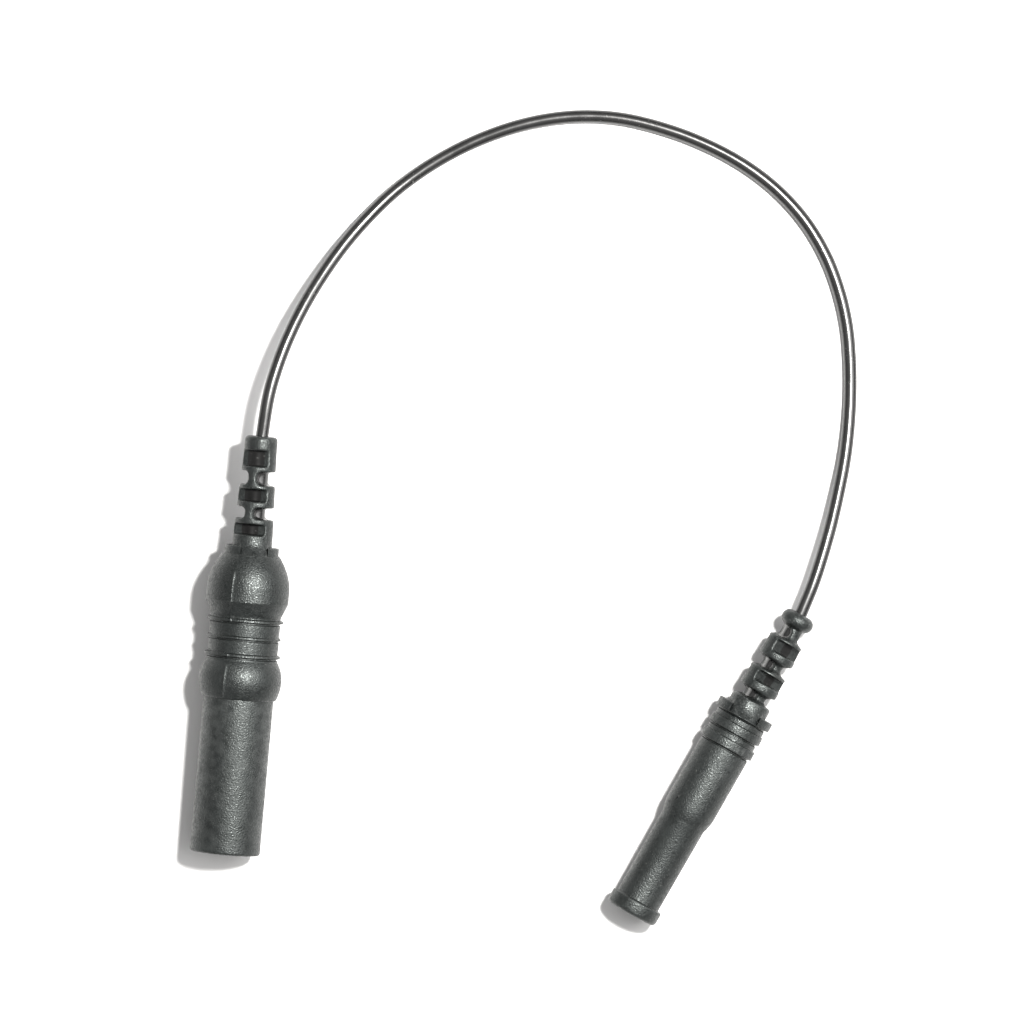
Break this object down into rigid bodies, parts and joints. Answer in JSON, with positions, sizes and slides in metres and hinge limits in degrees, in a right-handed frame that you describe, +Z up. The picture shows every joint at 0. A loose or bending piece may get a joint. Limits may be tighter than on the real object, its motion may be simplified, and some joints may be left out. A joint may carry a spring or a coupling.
{
  "type": "adapter test lead",
  "caption": "Short black adapter lead: a shrouded plug and a slimmer in-line socket, each with a slotted bend relief, joined by a thin glossy cord lying in an arc.",
  "frame": {"origin": "on the table, under the middle of the two connectors' box", "axes": "+Z up from the table; +Y the way the plug's cord end points, nearly; +X from the plug towards the socket"},
  "size_m": [0.0769, 0.094, 0.0099],
  "materials": {
    "hard_plastic": "fine spark-eroded grain, half matt",
    "moulding": "fine spark-eroded grain, matt",
    "nylon": "natural, half matt",
    "nickel": "bright nickel plating over brass",
    "spring": "nickel plating over spring bronze",
    "copper": "bare stranded copper",
    "jacket": "smooth and glossy"
  },
  "bodies": {
    "lead": {"plug_sheath": "hard_plastic", "plug_body": "moulding", "plug_strain_relief": "moulding", "plug_pin": "nickel", "plug_inner_mould": "nylon", "plug_cord_end": "jacket", "plug_conductor": "copper", "cord": "jacket", "socket_body": "moulding", "socket_strain_relief": "moulding", "socket_insulator": "hard_plastic", "socket_contact": "nickel", "socket_clip_spring": "spring", "socket_inner_mould": "nylon", "socket_cord_end": "jacket", "socket_conductor": "copper"},
    "contact_cage": {"plug_lantern_spring": "spring"}
  },
  "joints": [
    {"name": "cage_spin", "type": "hinge", "parent": "lead", "child": "contact_cage", "pos_m": [-0.03094, -0.0104, 0.00441], "axis": [0.0897, 0.9953, 0.0362], "continuous": true}
  ]
}
